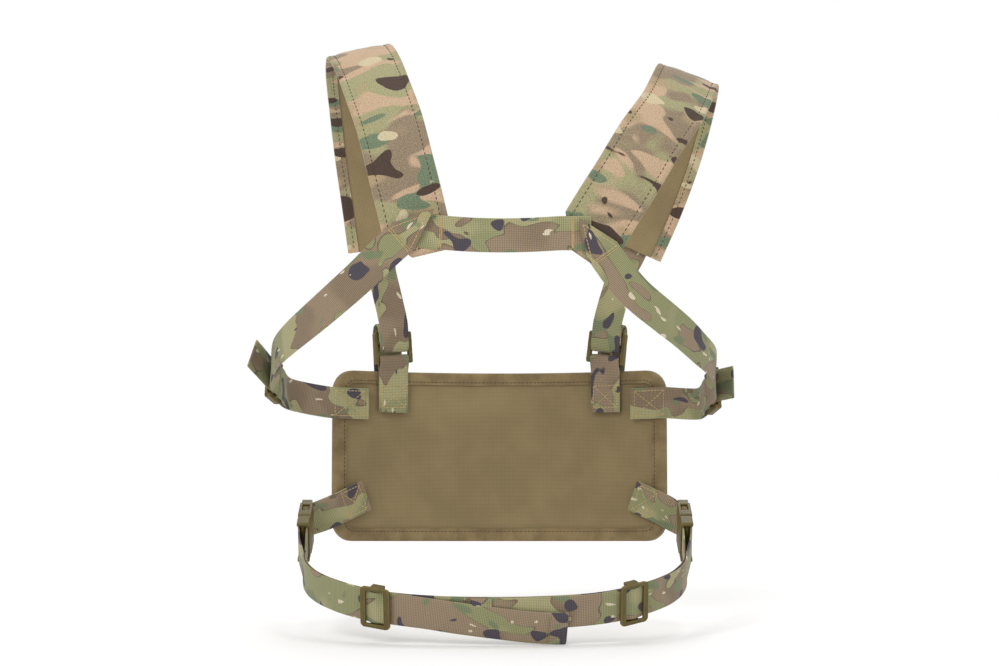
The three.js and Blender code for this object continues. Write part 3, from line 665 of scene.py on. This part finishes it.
def moulded_plastic():
    """Satin acetal: fine moulded grain, and the outer edges painted paler as a highlight, with a little rubbing.
    """
    m = Shader("moulded_plastic", 0.5)
    p = m.place()
    patches = m.noise(p, 9, detail=3, seed=41)
    grain = m.noise(p, 0.35, detail=2, seed=42)
    base = m.mix(m.above(patches, 0.5, 0.2), "#53471a", "#5f5223")
    # painted highlight with a little rubbing: convex outer edges turn paler, as if catching the light
    edge = m.new("ShaderNodeNewGeometry").outputs["Pointiness"]
    rubbed = m.above(m.math("MULTIPLY_ADD", grain, 0.03, edge), 0.545, 0.03)
    base = m.mix(m.math("MULTIPLY", rubbed, 0.35), base, "#8f7b4c")
    m.set("Roughness", m.math("MULTIPLY_ADD", patches, 0.25, 0.4))
    m.set("Specular IOR Level", 0.4)
    m.bump(grain, 0.05 * MM, 0.5)
    return m.paint(base)


def thread(name, tint, dark):
    """Twisted sewing thread."""
    m = Shader(name, 0.6, sheen=0.2)
    p = m.place()
    m.bump(m.noise(p, 0.2, detail=1, seed=52), 0.08 * MM, 0.6)
    return m.paint(m.mix(m.above(m.noise(p, 0.5, detail=2, seed=51), 0.5, 0.2), dark, tint))


CLOTH, WEB, BACKING, TAPE = camo_cloth(), camo_webbing(), backing_cloth(), grosgrain()
FOAM, PLASTIC = foam(), moulded_plastic()
BROWN_THREAD = thread("brown_thread", "#54402f", "#32251b")
GOLD_THREAD = thread("gold_thread", "#cdb27c", "#a68b55")
OLIVE_THREAD = thread("olive_thread", "#8a8460", "#6d684a")


# ---- shoulder straps
def end_rows(band, loop_v):
    """Rows of s for a strap whose start follows its cut outline, and how full each row is."""
    taper = 3.5 * MM
    rows = band.rows(coarse=3 * MM, turn=math.radians(6))
    rows = np.sort(np.append(rows, band.length - taper))
    lead = np.array([0, 0.04, 0.12, 0.25, 0.4, 0.55, 0.7, 0.85])       # from outline to square start
    place, reach = np.array(band.cut).T
    past = np.interp(loop_v, place, reach)
    s = np.vstack([-past * (1 - lead[:, None]), np.repeat(rows[:, None], len(loop_v), 1)])
    tail = smoothstep(band.length - rows, -taper / 2, taper)
    full = np.concatenate([[0, 0.6], np.ones(len(lead) - 2), tail])
    return s, full[:, None]


def shoulder_strap(side):
    """A cloth cover folded round both edges, with a backing and padding inside it."""
    name = f"{side}_shoulder_strap"
    far, outward = (0, 1, -0.2), (0, 1, 0)
    outer = read_band(f"{name}_outer", far, outward, STRAP_WIDTH, CLOTH_THICK)
    inner = read_band(f"{name}_lining", far, outward, STRAP_WIDTH, CLOTH_THICK)
    core = read_band(f"{name}_core", far, outward, PADDING_WIDTH, PADDING_THICK)
    middle = outer.at(100 * MM, 0, 0)
    drop = float(np.linalg.norm(middle - inner.at(inner.nearest(middle), 0, 0)))
    top, low = CLOTH_THICK / 2, -drop - CLOTH_THICK / 2
    strap_cover(name, outer, top, low)
    strap_backing(name, inner)
    strap_padding(name, core)
    strap_stitching(name, outer, top, low)


def strap_cover(name, band, top, low):
    """The outer cloth. Its folded edges reach from top down to low and in under the strap."""
    half = STRAP_WIDTH / 2
    seam = half - EDGE_SEAM
    shell = 0.7 * MM
    crown = np.linspace(-seam, seam, 21)
    edge = np.array([(half - 9 * MM, low), (half - 4 * MM, low), (half - 1.2 * MM, low + 0.15 * MM),
                     (half - 0.25 * MM, low + 0.9 * MM), (half, low + 1.9 * MM),
                     (half - 0.3 * MM, top - 1.5 * MM), (half - 1.1 * MM, top - 0.8 * MM),
                     (half - 2.6 * MM, top - 0.55 * MM), (half - 4.2 * MM, top - 0.8 * MM)])
    over = np.stack([crown, top - 1.2 * MM + 1.1 * MM * (1 - np.abs(crown / seam) ** 5)], -1)
    loop = shell_loop(np.vstack([edge * (-1, 1), over, edge[::-1]]), shell)
    s, full = end_rows(band, loop[:, 0])
    v = loop[:, 0][None, :]
    floor = low + 2 * shell
    above = loop[:, 1] - floor
    h = np.where(above > 0, floor + above * (0.15 + 0.85 * full), loop[:, 1])

    first, last = len(edge), len(edge) + len(crown)
    columns, back = slice(first, last), slice(len(loop) - last, len(loop) - first)
    held = smoothstep(np.abs(v[:, columns]), seam - 4 * MM, seam)
    held = np.maximum(held, 1 - smoothstep(s[:, columns], 20 * MM, 32 * MM))
    held = np.maximum(held, 1 - smoothstep(band.length - s[:, columns], 76 * MM, 92 * MM))
    puff = billow(band.at(s[:, columns], v[:, columns], h[:, columns]), held, STRAP_PUFF)
    offset = np.zeros((*s.shape, 3))
    offset[:, columns] = puff
    offset[:, back] = puff[:, ::-1]
    wear = smoothstep(np.abs(v), half - 2.2 * MM, half) * (h > low + shell)
    cover = loft(f"{name}_cover", band.at, s, v, h, CLOTH,
                 pattern_start(f"{name}_cover"), offset=offset, wear=wear)
    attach(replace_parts(cover, f"{name}_outer"), "harness")


def strap_backing(name, band):
    """Cloth flush with the cover's folded edges in the middle, and tucked over them at the sides."""
    half = STRAP_WIDTH / 2
    places = np.linspace(-half + 1.6 * MM, half - 1.6 * MM, 27)
    tucked = smoothstep(np.abs(places), half - 12 * MM, half - 9 * MM)
    level = 0.1 * MM - CLOTH_THICK / 2 + tucked * 0.68 * MM
    loop = np.concatenate([places, places[::-1]])
    s, _ = end_rows(band, loop)
    h = np.concatenate([level + 0.6 * MM, level[::-1]])
    backing = loft(f"{name}_backing", band.at, s, loop, h, BACKING)
    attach(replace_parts(backing, f"{name}_lining"), "harness")


def strap_padding(name, band):
    """The foam, thinner and narrower than its CAD solid to stay clear of the folded cover."""
    places = np.linspace(-1, 1, 15)
    thin = PADDING_THICK / 2 * 0.85 * (1 - 0.5 * np.abs(places) ** 4)
    loop = np.concatenate([places, places[::-1]]) * 0.78 * PADDING_WIDTH / 2
    s, full = end_rows(band, loop)
    h = np.concatenate([thin, -thin]) * (0.4 + 0.6 * full)
    padding = loft(f"{name}_padding", band.at, s, loop, h, FOAM)
    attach(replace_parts(padding, f"{name}_core"), "harness")


def strap_stitching(name, band, top, low):
    """A seam along each edge, above and below, and one round the shaped end."""
    seam = STRAP_WIDTH / 2 - EDGE_SEAM
    marks = []
    for v in (-seam, seam):
        line = np.linspace(2 * MM, band.length - 3 * MM, 40)
        marks += stitch_marks(band.at, [(s, v, top - 1.1 * MM) for s in line], pitch=3.9 * MM)
        marks += flipped(stitch_marks(band.at, [(s, v, low) for s in line], pitch=3.9 * MM))
    outline = [(0.5 * MM - reach * 0.8, v * 0.84, top) for v, reach in band.cut]
    marks += stitch_marks(band.at, outline, pitch=3.4 * MM)
    threads(f"{name}_stitching", marks, BROWN_THREAD)


def flipped(marks):
    """The same stitches facing the other way."""
    return [(centre, along, -up) for centre, along, up in marks]


# ---- webbing
def across_line(band, s, h, pitch=2.6 * MM, turn=0.0):
    """Marks of a stitched line right across a strap."""
    reach = WEB_WIDTH / 2 - 1.5 * MM
    return stitch_marks(band.at, [(s, -reach, h), (s, reach, h)], pitch, turn)


def box_stitch(band, s0, s1, h):
    """Marks of a stitched box with a cross in it."""
    reach = WEB_WIDTH / 2 - 2.5 * MM
    a, b, c, d = (s0, -reach, h), (s0, reach, h), (s1, reach, h), (s1, -reach, h)
    return [mark for path in ((a, b, c, d, a), (a, c), (b, d))
            for mark in stitch_marks(band.at, path, pitch=3 * MM)]


def joint(name):
    return next(j for j in frame["joints"] if j["name"] == name)


def middle_of(node):
    lo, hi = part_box(node)
    return np.array((lo + hi) / 2)


def bend_at_lock(strap):
    """Bakes a strap's placement into its mesh."""
    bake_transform(strap)


def back_straps():
    cross = read_band("back_cross_strap", (-1, 0, 0), (0, -1, 0))
    webbing("back_cross_strap_webbing", cross, "back_cross_strap", ripple=0.12 * MM)
    marks = []
    for s in (16 * MM, cross.length - 14 * MM):
        for line in (s, s + 1.1 * MM):
            marks += across_line(cross, line, WEB_FACE, pitch=1.9 * MM)
    for side in SIDES:
        name = f"{side}_side_strap"
        band = read_band(name, (0, 1, -1), (0, 0, 0))
        if band.up[0][1] > 0:
            band = band.turned_over()
        bend_at_lock(webbing(f"{name}_webbing", band, name, body=None))
        for s in (2.4 * MM, 4.3 * MM):
            marks += across_line(band, s, WEB_FACE, pitch=2.7 * MM)
        outline = [(1.5 * MM - reach * 0.82, v * 0.82, WEB_FACE) for v, reach in band.cut]
        marks += stitch_marks(band.at, outline, pitch=2.7 * MM)
    threads("back_strap_stitching", marks, GOLD_THREAD)


def front_straps(side):
    name = f"{side}_front_strap"
    band = read_band(name, (0, -0.2, 1), (0, 1, 0))
    bend_at_lock(webbing(f"{name}_webbing", band, name, body=None))
    marks = box_stitch(band, 3 * MM, 28 * MM, WEB_FACE) + box_stitch(band, 32 * MM, 56 * MM, WEB_FACE)
    threads(f"{name}_stitching", marks, GOLD_THREAD)


def tabs(side):
    """Short straps that loop round a fitting's bar and are sewn to the back of the panel."""
    marks = []
    for place, sewn in (("side", 32 * MM), ("front", 22 * MM), ("buckle", 22 * MM)):
        name = f"{side}_{place}_anchor_tab"
        band = read_band(name, (0, 1, 0), (0, -1, 0))
        webbing(f"{name}_webbing", band, name, ripple=0.1 * MM)
        inner_first = band.at(4 * MM, 0, 0)[1] < band.at(band.length - 4 * MM, 0, 0)[1]
        legs = (4 * MM, sewn) if inner_first else (band.length - 4 * MM, band.length - sewn)
        out = WEB_FACE if band.frames(legs[0])[3][1] < 0 else -WEB_FACE
        found = box_stitch(band, *legs, out)
        marks += found if out > 0 else flipped(found)
    threads(f"{side}_tab_stitching", marks, GOLD_THREAD)


# ---- belt
def waist_belt():
    """The belt, folded back under itself at its first end and over itself at the other."""
    band = read_band("waist_belt_webbing", (1, 0, 0), (0, -1, 0))
    end, lift = band.length, 1.5 * MM
    under = [(x * MM, 0) for x in (17, 12, 8, 4)]
    turn = [(1.2 * MM, 0), (0.1 * MM, 0.2 * lift), (-0.2 * MM, 0.5 * lift), (0.1 * MM, 0.8 * lift),
            (1.2 * MM, lift)]
    middle = [(s, lift * (1 - smoothstep(s, 16 * MM, 60 * MM))) for s in band.rows()
              if 3 * MM < s < end - 2 * MM]
    over = [(end - s, h) for s, h in turn] + [(end - x * MM, lift) for x in (4, 9, 15)]
    webbing("waist_belt", band.bent(under + turn + middle + over), "waist_belt_webbing",
            ripple=0.12 * MM, coarse=3.5 * MM, body="waist_belt")
    marks = []
    for s in (13 * MM, 14.6 * MM, end - 12 * MM):
        marks += across_line(band, s, WEB_FACE + lift)
    threads("waist_belt_hem_stitching", marks, OLIVE_THREAD, "waist_belt")
    for side in SIDES:
        glide_bight(side, band)


def glide_bight(side, band):
    """The turn of webbing that shows in a tri-glide's window, over its centre bar."""
    glide, thick = f"{side}_tri_glide", 0.9 * MM
    centre = band.nearest(middle_of(glide))
    s = (centre + np.linspace(-GLIDE_REACH, GLIDE_REACH, 27))[:, None]
    hump = smoothstep(GLIDE_REACH - np.abs(s - centre), 0.8 * MM, 6.5 * MM)
    rest = WEB_FACE + 0.35 * MM + thick / 2
    v, h = web_section(WEB_WIDTH - 0.8 * MM, thick)
    bight = loft(f"{glide}_bight", band.at, s, v, h + (rest + 1.3 * MM * hump), WEB,
                 pattern_start(side))
    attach(bight, glide)


# ---- front panel
class Panel:
    """The curved front panel. at(u, v, h): u round it, v up it, h outward from its inner face."""

    def __init__(self):
        mount = next(m for m in frame["record"]["mounts"] if m["name"] == "chest_face")
        lo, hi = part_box("front_panel_lining")
        self.out = -np.array(mount["axis"])
        self.right = np.array((1.0, 0.0, 0.0))
        self.up = np.cross(self.right, self.out)
        half_facet = 9.8 * MM                  # the CAD's middle facet is a chord of the bend
        point = np.array(mount["pos_m"]) + self.out * half_facet ** 2 / (2 * PANEL_BEND)
        rise = ((lo.z + hi.z) / 2 - point[2]) / self.up[2]
        self.origin = point + self.up * rise
        self.origin[0] = (lo.x + hi.x) / 2
        self.half_height = (hi.z - lo.z) / 2 / self.up[2]
        turn = math.asin((hi.x - lo.x) / 2 / (PANEL_BEND + PANEL_LINING[1]))
        self.half_width = turn * PANEL_BEND

    def at(self, u, v, h):
        u, v, h = (np.asarray(a, float) for a in (u, v, h))
        turn = u / PANEL_BEND
        reach = PANEL_BEND + h
        return (self.origin + self.right * (reach * np.sin(turn))[..., None]
                + self.out * (reach * np.cos(turn) - PANEL_BEND)[..., None] + self.up * v[..., None])

    def height(self, u, inset):
        """Half the height of the rounded panel at u."""
        radius = PANEL_CORNER - inset
        into = np.clip(np.abs(u) - (self.half_width - inset - radius), 0, radius)
        return self.half_height - inset - radius + np.sqrt(radius ** 2 - into ** 2)

    def columns(self, inset, step):
        """Places round the panel, closer together at its rounded corners."""
        radius = PANEL_CORNER - inset
        half = self.half_width - inset
        corner = -half + radius * (1 - np.cos(np.linspace(0, math.pi / 2, 9)))
        straight = np.linspace(-(half - radius), half - radius, int(2 * (half - radius) / step))
        return np.concatenate([corner[:-1], straight, -corner[:-1][::-1]])

    def outline(self):
        """Places round the edge: distance, point and outward direction."""
        radius, step = PANEL_CORNER, 4 * MM
        w, t = self.half_width - radius, self.half_height - radius
        centres = ((w, t), (-w, t), (-w, -t), (w, -t))
        places = []
        for k, (x, y) in enumerate(centres):
            for angle in np.linspace(k, k + 1, 8) * math.pi / 2:
                places.append((x, y, angle))
            nx, ny = centres[(k + 1) % 4]
            count = int(math.hypot(nx - x, ny - y) / step)
            for share in np.linspace(0, 1, count + 1)[1:-1]:
                places.append((x + (nx - x) * share, y + (ny - y) * share, (k + 1) * math.pi / 2))
        x, y, angle = np.array(places).T
        outward = np.stack([np.cos(angle), np.sin(angle)], -1)
        point = np.stack([x, y], -1) + outward * radius
        steps = np.linalg.norm(np.diff(point, axis=0), axis=1)
        return np.concatenate([[0], np.cumsum(steps)]), point, outward


def panel_layer(name, stands_for, panel, heights, material, inset=0.6 * MM, step=8 * MM,
                puff=None):
    """One sheet of the panel, with a softened edge. puff(u, v, points) gives its bulge."""
    low, high = heights
    u = panel.columns(inset, step)[:, None]
    share = np.linspace(-1, 1, max(9, int(2 * panel.half_height / step)))
    edge = np.abs(share) ** 24 * 0.3 * (high - low)
    v = np.concatenate([share, share[::-1]]) * panel.height(u, inset)
    h = np.concatenate([high - edge, low + edge])
    offset = None
    if puff is not None:
        top_v, top_h = v[:, :len(share)], h[:len(share)]
        bulge = puff(u, top_v, panel.at(u, top_v, top_h))
        offset = np.concatenate([bulge, bulge[:, ::-1]], axis=1)
    name = f"front_panel_{name}"
    piece = loft(name, panel.at, u, v, h, material, pattern_start(name), offset=offset)
    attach(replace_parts(piece, f"front_panel_{stands_for}"), "harness")


def front_panel():
    panel = Panel()
    row_at = [-TACK_PITCH, 0, TACK_PITCH]
    tack_at = [(k - 3.5) * TACK_PITCH for k in range(8)]

    def quilted(u, v, points):
        """Held at the binding and at every bar tack, and nearly flat under the rows."""
        border = np.minimum(panel.half_width - np.abs(u), panel.half_height - np.abs(v))
        held = 1 - smoothstep(border, 8 * MM, 13 * MM)
        near_row = np.min([np.abs(v - row) for row in row_at], axis=0)
        near_tack = np.min([np.abs(u - tack) for tack in tack_at], axis=0)
        tacked = 1 - smoothstep(near_tack, 0.8 * MM, 3.2 * MM)
        tacked = tacked * (1 - smoothstep(near_row, 11 * MM, 14 * MM))
        free = 1 - 0.85 * (1 - smoothstep(near_row, 11.5 * MM, 15.5 * MM))
        return billow(points, np.maximum(held, tacked), PANEL_PUFF) * free[..., None]

    panel_layer("cover", "face", panel, PANEL_FACE, CLOTH, step=2.6 * MM, puff=quilted)
    panel_layer("padding", "foam", panel, PANEL_FOAM, FOAM, inset=1.6 * MM)
    panel_layer("backing", "lining", panel, PANEL_LINING, BACKING, step=4 * MM)
    binding(panel)

    marks = []
    for number, height in enumerate(row_at, 1):
        node = f"front_webbing_row_{number}"
        band = read_band(node, (-1, 0, 0), (0, 1, 0))
        webbing(f"{node}_webbing", band, node, ripple=0.08 * MM, coarse=2.4 * MM)
        for tack in tack_at:
            s = band.nearest(panel.at(tack, height, PANEL_FACE[1] + 1 * MM))
            s = min(max(s, 1.6 * MM), band.length - 1.6 * MM)
            marks += across_line(band, s, WEB_FACE, pitch=0.65 * MM, turn=math.radians(78))
    threads("front_webbing_row_tacks", marks, GOLD_THREAD, length=2.6 * MM, radius=0.3 * MM)


def binding(panel):
    """Tape folded over the panel's edge, stitched through from face to back."""
    thick, clear = 0.85 * MM, 0.4 * MM
    front, back = PANEL_FACE[1] + clear + thick, -clear - thick
    out = clear + thick + 0.2 * MM
    leg = [(-9 * MM, 0), (-5 * MM, 0), (-1.5 * MM, 0), (0, 0.15 * MM), (out - 0.5 * MM, 0.6 * MM),
           (out, 1.6 * MM)]
    section = [(x, front - y) for x, y in leg] + [(out + 0.1 * MM, (front + back) / 2)]
    section += [(x, back + y) for x, y in leg[::-1]]
    distance, point, outward = panel.outline()
    wave = wander("binding", 22 * MM)

    def place(s, v, h):
        spot = interpolate(s, distance, point) + unit(interpolate(s, distance, outward)) * v[..., None]
        return panel.at(spot[..., 0], spot[..., 1], h)

    def seam(level):
        return stitch_marks(place, [(s, -6.6 * MM, level) for s in distance], pitch=3.3 * MM)

    s = distance[:, None]
    v, h = shell_loop(section, thick).T
    v = v + 0.15 * MM * wave(s) * (v < -7 * MM)
    tape = loft("front_panel_binding_tape", place, s, v, h, TAPE, ring=True)
    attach(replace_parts(tape, "front_panel_binding"), "harness")
    threads("front_panel_binding_stitching", seam(front) + flipped(seam(back)), BROWN_THREAD)


# ---- moulded fittings
def fittings():
    """Plastic keeps its CAD shape, with the sharp CAD edges melted into moulded ones."""
    for name, node in frame["nodes"].items():
        if not any(word in name for word in ("lock", "glide", "male", "prong")):
            continue
        node.material_slots[0].material = PLASTIC
        remesh = node.modifiers.new("Moulded", "REMESH")
        remesh.mode = "VOXEL"
        remesh.voxel_size = 0.36 * MM
        remesh.use_smooth_shade = True
        fill = node.modifiers.new("Fill", "DISPLACE")
        fill.mid_level = 0
        fill.strength = 0.15 * MM
        soften = node.modifiers.new("Soften", "SMOOTH")
        soften.factor = 0.6
        soften.iterations = 4


def grips():
    """Raised finger ribs on the outer faces of the buckles and on the edges of their prongs."""
    slide = -unit(joint("belt_release")["axis"])            # towards the front
    face = BUCKLE_HALF_THICK - 0.1 * MM                     # a rib's middle line, just under the face
    for side, sign in zip(SIDES, (-1, 1)):
        out = np.array((sign, 0.0, 0.0))
        across = np.cross(out, slide)
        roots = [np.array(joint(f"{side}_buckle_{which}")["pos_m"])
                 for which in ("squeeze", "lower_squeeze")]
        bar = (roots[0] + roots[1]) / 2 - slide * BUCKLE_ROOT
        ribs = [(bar + slide * x + out * face, across, out) for x in np.arange(27, 36.1, 2.25) * MM]
        ribs += [(centre - out * 2 * face, across, -out) for centre, _, _ in ribs]
        threads(f"{side}_buckle_female_ribs", ribs, PLASTIC, length=19 * MM, radius=0.55 * MM)
        for which, root in zip(("upper", "lower"), roots):
            prong = f"{side}_buckle_{which}_prong"
            edge = unit(root - bar - slide * BUCKLE_ROOT)
            ribs = [(bar + slide * x + edge * PRONG_EDGE, out, edge)
                    for x in np.arange(27.5, 33, 1.3) * MM]
            threads(f"{prong}_ribs", ribs, PLASTIC, prong, length=3.8 * MM, radius=0.32 * MM)


# ---- stage
def stage():
    """Soft lights round the object, a white background and a floor that fades into it."""
    scene = bpy.context.scene
    scene.view_settings.view_transform = "Standard"
    scene.world = bpy.data.worlds.new("studio")
    scene.world.use_nodes = True
    nodes, links = scene.world.node_tree.nodes, scene.world.node_tree.links
    background = nodes["Background"]
    background.inputs["Color"].default_value = (1, 1, 1, 1)
    seen = nodes.new("ShaderNodeLightPath")
    level = nodes.new("ShaderNodeMapRange")
    level.inputs["To Min"].default_value = WORLD_LIGHT
    links.new(seen.outputs["Is Camera Ray"], level.inputs["Value"])
    links.new(level.outputs[0], background.inputs["Strength"])

    floor_mesh = bpy.data.meshes.new("floor")
    corners = [(-1, -1), (1, -1), (1, 1), (-1, 1)]
    floor_mesh.from_pydata([(x * FLOOR_REACH, y * FLOOR_REACH, FLOOR_LEVEL) for x, y in corners], [],
                           [(0, 1, 2, 3)])
    floor = placed("studio_floor", floor_mesh)
    m = Shader("studio_floor", 0.9)
    m.paint("#f4f4f4")
    where = m.new("ShaderNodeTexCoord").outputs["Object"]
    far = m.new("ShaderNodeVectorMath", {0: where}, operation="LENGTH").outputs["Value"]
    fade = m.new("ShaderNodeMapRange", {"Value": far, "From Min": FLOOR_FADE[0], "From Max": FLOOR_FADE[1]},
                 interpolation_type="SMOOTHSTEP").outputs[0]
    glow = m.new("ShaderNodeEmission", {"Color": (1, 1, 1, 1), "Strength": 1.0})
    out = next(n for n in m.tree.nodes if n.type == "OUTPUT_MATERIAL")
    blend = m.new("ShaderNodeMixShader", {0: fade, 1: m.surface.outputs[0], 2: glow.outputs[0]})
    m.tree.links.new(blend.outputs[0], out.inputs[0])
    floor_mesh.materials.append(m.material)

    for name, place, size, power, tint in LIGHTS:
        light = bpy.data.lights.new(name, "AREA")
        light.shape = "DISK"
        light.size = size
        light.energy = power
        light.color = tint
        lamp = placed(name, light)
        lamp.location = place
        aim = Vector(LIGHT_TARGET) - lamp.location
        lamp.rotation_euler = aim.to_track_quat("-Z", "Y").to_euler()


def camera():
    """Level, behind the wearer, square to the middle of the back."""
    lens = bpy.data.cameras.new("camera")
    lens.lens = CAMERA_LENS
    lens.sensor_width = CAMERA_SENSOR
    viewer = placed("camera", lens)
    viewer.location = CAMERA_PLACE
    viewer.rotation_euler = (math.pi / 2, 0, 0)
    bpy.context.scene.camera = viewer


for each_side in SIDES:
    shoulder_strap(each_side)
    front_straps(each_side)
    tabs(each_side)
back_straps()
waist_belt()
front_panel()
fittings()
grips()
stage()
camera()
